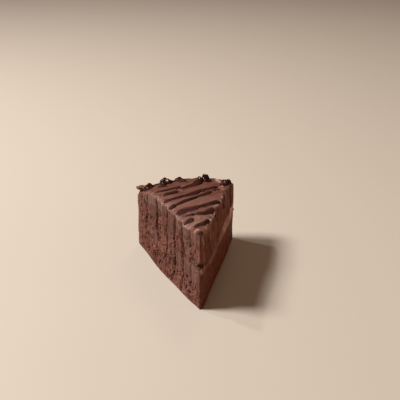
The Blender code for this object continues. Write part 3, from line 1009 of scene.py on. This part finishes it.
def icing():
    """The icing over the top and down the outer side."""
    share = np.linspace(0, 1, ICING_COLUMNS + 1)[None, :]
    way = np.linspace(0, 1, ICING_ROWS + 1)[None, None, :]
    inner_radius, inner_height, outer_radius, outer_height = icing_skins(share)
    radius = mix(inner_radius[..., None], outer_radius[..., None], way)
    height = mix(inner_height[..., None], outer_height[..., None], way)
    share = np.broadcast_to(share[..., None], radius.shape)
    station = np.arange(radius.shape[0])[:, None, None]
    on_top = (station <= RADIAL_CELLS) * way
    height = height + icing_relief(radius, share) * on_top
    strokes = side_relief(share * 2 * HALF_ANGLE * CAKE_RADIUS, height)
    radius = radius + strokes * (1 - on_top) * way * clamp(height / 0.002)
    outer_side = ease((station - RADIAL_CELLS) / ROUND_CELLS)
    masks = icing_masks(radius, share, height, way, outer_side)
    return block("icing_coat", place(radius, share, height), masks)


def drizzle_path(line, way):
    """Share across and radius at a way along a drizzled line, which is nearly straight in plan."""
    share_a, radius_a, share_b, radius_b, bow = line[:5]
    start_x, start_y = plan_point(radius_a, share_a)
    end_x, end_y = plan_point(radius_b, share_b)
    wander = DRIZZLE_WANDER * (share_b - share_a) * np.sin(9 * way + radius_a * 400)
    x = mix(start_x, end_x, way)
    y = mix(start_y, end_y, way) + bow * np.sin(math.pi * way) + wander
    return (np.arctan2(x, y) / HALF_ANGLE + 1) / 2, np.hypot(x, y)


def drizzle_line(number, line):
    """One drizzled line: a low rounded bead that lies on the icing."""
    way = np.linspace(0, 1, DRIZZLE_STATIONS + 1)[:, None]
    turn = np.linspace(0, 2 * math.pi, DRIZZLE_SIDES, endpoint=False)[None, :]
    share, radius = drizzle_path(line, way)
    ahead_share, ahead_radius = drizzle_path(line, way + 0.01)
    run = (ahead_share - share) * 2 * HALF_ANGLE * radius
    lean = np.hypot(run, ahead_radius - radius) / run
    swell = 1 + DRIZZLE_SWELL * np.sin(8 * way + 2 * number)
    ends = np.minimum(1, 4.5 * np.minimum(way, 1 - way) + 0.05) ** 0.75
    width = mix(line[5], line[6], way)
    width = (width + DRIZZLE_SPREAD * clamp((0.006 - width) / 0.003)) * swell * ends
    edge = 0.0002 * noise(way * 0.05, turn * 0 + number * 0.01, 0.0016, 0.01, 70 + number)
    across = (width / 2 + edge) * lean * np.cos(turn)
    rise = np.sin(turn)
    full = np.minimum(1, FULL_WIDTH / width)
    lift = rise * np.abs(rise) * np.where(rise > 0, DRIZZLE_HEIGHT * full * ends, DRIZZLE_SUNK)
    top = top_height(radius + across, share)
    base = place(radius + 0 * turn, share + 0 * turn, top)
    facing = (2 * share - 1) * HALF_ANGLE
    x = base[..., 0] + across * np.sin(facing)
    y = base[..., 1] + across * np.cos(facing)
    return tube("line_%d" % number, np.stack([x, y, top + lift], axis=-1))


def lobe(number, x, y, half_width, half_depth, height, lift=0.0):
    """One round lobe of sauce at plan coordinates from the tip, sunk into the icing."""
    corners, faces = ball(4)
    lumps = 1 + LOBE_LUMPS * np.sin(5 * corners[:, 0] + 3 * corners[:, 1] + 2 * number)
    half_height = np.where(corners[:, 2] > 0, height, LOBE_SUNK)
    size = np.stack(np.broadcast_arrays(half_width, half_depth, half_height), axis=-1)
    centre = (x, y - CAKE_RADIUS / 2, float(top_height(*plan_share(x, y))) + lift)
    return mesh_object("lobe", centre + size * lumps[:, None] * corners, faces.tolist())


def tail(radius, share, half_width, height, turn, length):
    """A tail of sauce: a row of lobes that get smaller."""
    x, y = plan_point(radius, share)
    pieces = []
    for index in range(1, TAIL_LOBES + 1):
        way = index / TAIL_LOBES
        bend = math.radians(turn) + 0.3 * way
        size = half_width * (1 - 0.6 * way)
        pieces.append(lobe(index, x + way * length * math.cos(bend), y + way * length * math.sin(bend),
                           1.4 * size, size, height * (1 - 0.7 * way)))
    return pieces


def sauce_run(number, side, radius, top, bottom, half_width, thickness):
    """A thin run of sauce that hangs down a cut face."""
    share = (side + 1) / 2
    way = np.linspace(0, 1, 50)[:, None]
    turn = np.linspace(0, 2 * math.pi, 16, endpoint=False)[None, :]
    height = mix(top, bottom, way)
    bulb = 0.55 + 0.25 * np.cos(3.0 * way) + 0.35 * bell(way - 0.88, 0.1)
    ends = np.sqrt(clamp((1.02 - way) / 0.06))
    wander = 0.0006 * np.sin(9 * way + number)
    along = radius + wander + half_width * bulb * ends * np.cos(turn)
    out = thickness * ends * (0.7 + 0.5 * bell(way - 0.88, 0.12)) * np.sin(turn)
    height = height + 0 * turn
    base = place(along, share + 0 * along, np.minimum(height, top_height(along, share)))
    out = np.where(out > 0, out, 1.4 * out)
    x = base[..., 0] + side * out * math.cos(HALF_ANGLE)
    y = base[..., 1] - out * math.sin(HALF_ANGLE)
    return tube("run_%d" % number, np.stack([x, y, base[..., 2]], axis=-1))


def joined(name, pieces):
    """One object from several."""
    with bpy.context.temp_override(active_object=pieces[0], selected_editable_objects=pieces):
        bpy.ops.object.join()
    pieces[0].name = name
    pieces[0].data.name = name
    return pieces[0]


def applied(piece):
    """Replace an object's mesh by what its modifiers make of it."""
    graph = bpy.context.evaluated_depsgraph_get()
    made = bpy.data.meshes.new_from_object(piece.evaluated_get(graph))
    piece.modifiers.clear()
    piece.data = made
    made.shade_smooth()
    return piece


def sauce():
    """The drizzled lines, blobs and runs of sauce, fused into one glossy piece."""
    parts = [drizzle_line(number, line) for number, line in enumerate(DRIZZLE)]
    for number, (radius, share, *size) in enumerate(LOBES):
        parts.append(lobe(number, *plan_point(radius, share), *size))
    parts.append(lobe(0, *plan_point(*PALE_LOBE[:2]), *PALE_LOBE[2:], PALE_LOBE_LIFT))
    for size in TAILS:
        parts += tail(*size)
    for number, size in enumerate(RUNS):
        parts.append(sauce_run(number, *size))
    piece = joined("sauce_drizzle", parts)
    fuse = piece.modifiers.new("fuse", "REMESH")
    fuse.mode = "VOXEL"
    fuse.voxel_size = SAUCE_CELL
    fuse.adaptivity = 0
    soften = piece.modifiers.new("soften", "SMOOTH")
    soften.factor = 0.5
    soften.iterations = SAUCE_SOFTEN
    applied(piece)
    store_thickness(piece)
    return piece


def store_thickness(piece):
    """Store how thick the sauce lies at each corner: where it is thin it looks paler and redder."""
    points = np.empty(3 * len(piece.data.vertices), dtype=np.float32)
    piece.data.vertices.foreach_get("co", points)
    x, y, z = points.reshape(-1, 3).T
    radius, share = plan_share(x, y + CAKE_RADIUS / 2)
    above = z - top_height(radius, share)
    hanging = above < -0.001
    thick = np.where(hanging, 1.0, ease(above / THICK_SAUCE))
    glossy = np.where(hanging, 0.0, ease((above - DRIZZLE_HEIGHT) / GLOSSY_SAUCE))
    pale_lobe_x, pale_lobe_y = plan_point(*PALE_LOBE[:2])
    away = np.hypot((x - pale_lobe_x) / PALE_LOBE[2], (y + CAKE_RADIUS / 2 - pale_lobe_y) / PALE_LOBE[3])
    pale_lobe = ease((1.2 - away) / 0.3) * ease((above - PALE_LOBE_LIFT + 0.0012) / 0.0008)
    store_masks(piece, {"thick": thick, "glossy": glossy, "pale_lobe": pale_lobe})


def crumbs():
    """Small crumbs that cling to the left face where it is rough."""
    draw = np.random.RandomState(9)
    corners, faces = ball(2)
    points = []
    triangles = []
    count = 0
    while count < CRUMBS:
        radius = draw.uniform(0.002, 0.112)
        height = draw.uniform(0.001, 0.05)
        if count < TORN_CRUMBS:
            radius = draw.uniform(0.0015, 0.009)
            height = draw.uniform(0.0265, 0.0365)
        rough = 1 - LEFT["smear"][int(radius / MAP_STEP), int(height / MAP_STEP)]
        if draw.uniform() > rough and count >= TORN_CRUMBS:
            continue
        size = draw.uniform(0.5, 1.0) ** 3 * 0.0008
        lumps = 1 + 0.25 * np.sin(corners @ draw.uniform(-4, 4, (3, 1)) + draw.uniform(0, 6))
        spin = np.linalg.qr(draw.normal(size=(3, 3)))[0]
        grain = (corners * lumps * draw.uniform(0.6, 1.1, 3)) @ spin * size
        height = max(height, size)
        radius = radius + notch(np.array(radius), np.array(0.0), np.array(height))
        at = place(radius, np.array(0.0), np.array(height))
        points.append(grain + at)
        triangles.append(faces + count * len(corners))
        count += 1
    return mesh_object("crumbs", np.concatenate(points), np.concatenate(triangles).tolist())


class Paint:
    """A material, and the few kinds of node that its looks are made of."""

    def __init__(self, name):
        self.material = bpy.data.materials.new(name)
        self.material.use_nodes = True
        self.tree = self.material.node_tree
        self.shader = self.tree.nodes["Principled BSDF"]

    def wire(self, target, value):
        """Link another socket to a socket, or set it to a plain number or colour."""
        if isinstance(value, bpy.types.NodeSocket):
            self.tree.links.new(value, target)
        else:
            target.default_value = (*value, 1) if target.type == "RGBA" else value

    def node(self, kind, **inputs):
        """The outputs of a new node. An input's name is written with _ for a space."""
        made = self.tree.nodes.new("ShaderNode" + kind)
        for name, value in inputs.items():
            self.wire(made.inputs[name.replace("_", " ")], value)
        return made.outputs

    def between(self, factor, low, high, start=0.0, end=1.0):
        """A number that goes from low to high as the factor goes from start to end."""
        return self.node("MapRange", Value=factor, From_Min=start, From_Max=end,
                         To_Min=low, To_Max=high)["Result"]

    def mask(self, name, strength=1.0):
        """One of the mesh's masks, from 0 to a strength."""
        node = self.tree.nodes.new("ShaderNodeAttribute")
        node.attribute_name = name
        return self.between(node.outputs["Fac"], 0, strength)

    def grain(self, size, detail, rough, stretch=(1, 1, 1)):
        """Noise over the piece with lumps of one size, in metres."""
        where = self.node("TexCoord")["Object"]
        where = self.node("Mapping", Vector=where, Scale=stretch)["Vector"]
        return self.node("TexNoise", Vector=where, Scale=1 / size, Detail=detail,
                         Roughness=rough)["Fac"]

    def patches(self, size, detail, rough, start=0.35, end=0.65, stretch=(1, 1, 1)):
        """Noise that is drawn apart into patches of 0 and 1 with soft edges."""
        return self.between(self.grain(size, detail, rough, stretch), 0, 1, start, end)

    def number(self, factor, a, b):
        """A number between two."""
        return self.node("Mix", Factor=factor, A=a, B=b)["Result"]

    def blend(self, factor, a, b):
        """A colour between two."""
        node = self.tree.nodes.new("ShaderNodeMix")
        node.data_type = "RGBA"
        self.wire(node.inputs["Factor"], factor)
        for socket, colour in zip([each for each in node.inputs if each.type == "RGBA"], (a, b)):
            self.wire(socket, colour)
        return next(each for each in node.outputs if each.type == "RGBA")

    def finished(self, colour, rough, specular, heights, distance, strength):
        """The material, once its colour, roughness, specular level and bump are set."""
        bump = self.node("Bump", Distance=distance, Strength=strength, Height=heights)
        settings = {"Base Color": colour, "Roughness": rough, "Specular IOR Level": specular,
                    "Normal": bump["Normal"]}
        for name, value in settings.items():
            self.wire(self.shader.inputs[name], value)
        return self.material


def cut_face_colour(paint, crumb_dark, crumb_light, film_dark, film_light):
    """Sponge with its pores, and the brown film that the knife dragged over it, with painted shade in
    the hollows and over the right face.
    """
    crumb = paint.blend(paint.patches(0.0011, 6, 0.7, 0.36, 0.66), crumb_dark, crumb_light)
    film = paint.blend(paint.patches(0.0022, 4, 0.6, stretch=(1, 1, 0.5)), film_dark, film_light)
    colour = paint.blend(paint.mask("smear"), crumb, film)
    colour = paint.blend(paint.mask("red", 0.45), colour, REDDISH)
    colour = paint.blend(paint.mask("grey", 0.6), colour, GREYISH)
    # The knife's film, painted deeper and warmer over the right face as its shade.
    dragged = paint.blend(paint.patches(0.0044, 5, 0.65, 0.38, 0.62, (1, 1, 0.4)), *DRAGGED_AND_SHADED)
    colour = paint.blend(paint.mask("deep"), colour, dragged)
    # Painted shade in the pores, cracks, grooves and the torn notch.
    return paint.blend(paint.mask("dark", 0.85), colour, SHADE_IN_HOLLOWS)


def icing_colour(paint, fine):
    """The top of the icing, with its streaks."""
    tone = paint.patches(0.01, 3, 0.5)
    colour = paint.blend(paint.mask("tan"), paint.blend(tone, *MAUVE), paint.blend(tone, *TAN))
    colour = paint.blend(paint.mask("stain", 0.55), colour, STAINED)
    colour = paint.blend(paint.between(fine, 0.0, 0.25), colour, FINE_GRAIN)
    return paint.blend(paint.mask("red", 0.85), colour, REDDISH_TIP)


def cake_material(name, colours):
    """Crumb on the cut faces, and icing on top."""
    paint = Paint(name)
    fine = paint.patches(0.0012, 4, 0.6, 0.3, 0.7)
    on_top = paint.mask("top")
    colour = paint.blend(on_top, cut_face_colour(paint, *colours), icing_colour(paint, fine))
    # Pale places, and the painted highlights and sheen.
    colour = paint.blend(paint.mask("pale"), colour, PALE_AND_HIGHLIGHT)
    rough = paint.between(paint.mask("smear"), 0.9, 0.68)
    rough = paint.number(paint.mask("deep"), rough, 0.85)
    rough = paint.number(on_top, rough, paint.between(fine, 0.38, 0.52))
    rough = paint.number(paint.mask("gloss"), rough, 0.16)
    return paint.finished(colour, rough, 0.16, paint.grain(0.0006, 5, 0.7), 0.00025, 0.5)


def sauce_material():
    """Dark chocolate sauce, glossy where it lies thick."""
    paint = Paint("sauce")
    tone = paint.patches(0.004, 3, 0.5)
    glossy = paint.mask("glossy")
    pale_lobe = paint.mask("pale_lobe")
    line = paint.blend(paint.mask("thick"), THIN_SAUCE, paint.blend(tone, *LINE_SAUCE))
    colour = paint.blend(glossy, line, paint.blend(tone, *BLOB_SAUCE))
    colour = paint.blend(pale_lobe, colour, ON_THE_PALE_LOBE)
    rough = paint.number(glossy, 0.72, paint.between(tone, 0.1, 0.18))
    rough = paint.number(pale_lobe, rough, 0.35)
    return paint.finished(colour, rough, 0.18, paint.grain(0.0016, 2, 0.5), 0.0001, 0.4)


def crumb_material():
    """Loose crumbs, paler than the sponge they came from."""
    paint = Paint("crumb")
    colour = paint.blend(paint.patches(0.0016, 3, 0.6), *LOOSE_CRUMB)
    return paint.finished(colour, 0.9, 0.1, paint.grain(0.0004, 3, 0.6), 0.0002, 0.5)


def floor():
    """A plain pale floor."""
    bpy.ops.mesh.primitive_plane_add(size=12, location=(0, 3, 0))
    piece = bpy.context.object
    piece.name = "floor"
    paint = Paint("floor")
    paint.shader.inputs["Base Color"].default_value = FLOOR_COLOUR
    paint.shader.inputs["Roughness"].default_value = 0.6
    piece.data.materials.append(paint.material)


def area_light(name, place_at, size, power, colour, mirrored):
    """A soft round light that faces the middle of the slice."""
    data = bpy.data.lights.new(name, "AREA")
    data.shape = "DISK"
    data.size = size
    data.energy = power
    data.color = colour
    lamp = added(name, data)
    lamp.location = place_at
    lamp.visible_glossy = mirrored
    aim = -lamp.location.copy()
    aim.z += TOP_HEIGHT / 2
    lamp.rotation_mode = "QUATERNION"
    lamp.rotation_quaternion = aim.to_track_quat("-Z", "Y")


def lights():
    """A key light from the upper left, weaker ones round the slice, and a dim room."""
    for light in LIGHTS:
        area_light(*light)
    world = bpy.data.worlds.new("room")
    world.use_nodes = True
    world.node_tree.nodes["Background"].inputs["Color"].default_value = ROOM_COLOUR
    world.node_tree.nodes["Background"].inputs["Strength"].default_value = ROOM_STRENGTH
    bpy.context.scene.world = world
    bpy.context.scene.view_settings.view_transform = "Standard"


def camera():
    """The photograph's viewing angle."""
    data = bpy.data.cameras.new("camera")
    data.lens = CAMERA_LENS
    data.sensor_width = SENSOR_WIDTH
    piece = added("camera", data)
    piece.location = CAMERA_PLACE
    piece.rotation_euler = (math.pi / 2 - CAMERA_DOWN, 0, CAMERA_TURN)
    bpy.context.scene.camera = piece


def dress(piece, material, slot, *nodes):
    """Give a piece its material, the body it rides on and the solids it stands for. Its slot is not
    used.
    """
    piece.data.materials.clear()
    piece.data.materials.append(material)
    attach(piece, "root")
    if nodes:
        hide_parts(*nodes)


def main():
    """Build the dressed slice."""
    camera()
    lights()
    floor()
    sponge = cake_material("sponge", SPONGE_COLOURS)
    cream = cake_material("filling", FILLING_COLOURS)
    lower = layer("lower_sponge", floor_height, filling_bottom, LAYER_CELLS)
    upper = layer("upper_sponge", filling_top, sponge_top, LAYER_CELLS)
    middle = layer("filling_layer", filling_bottom, filling_top, FILLING_CELLS)
    dress(lower, sponge, "sponge", "sponge_lower")
    dress(upper, sponge, "sponge", "sponge_upper")
    dress(middle, cream, "filling", "filling")
    dress(icing(), cake_material("icing", ICING_COLOURS), "icing", "icing")
    dress(sauce(), sauce_material(), "sauce")
    dress(crumbs(), crumb_material(), "sponge")


main()
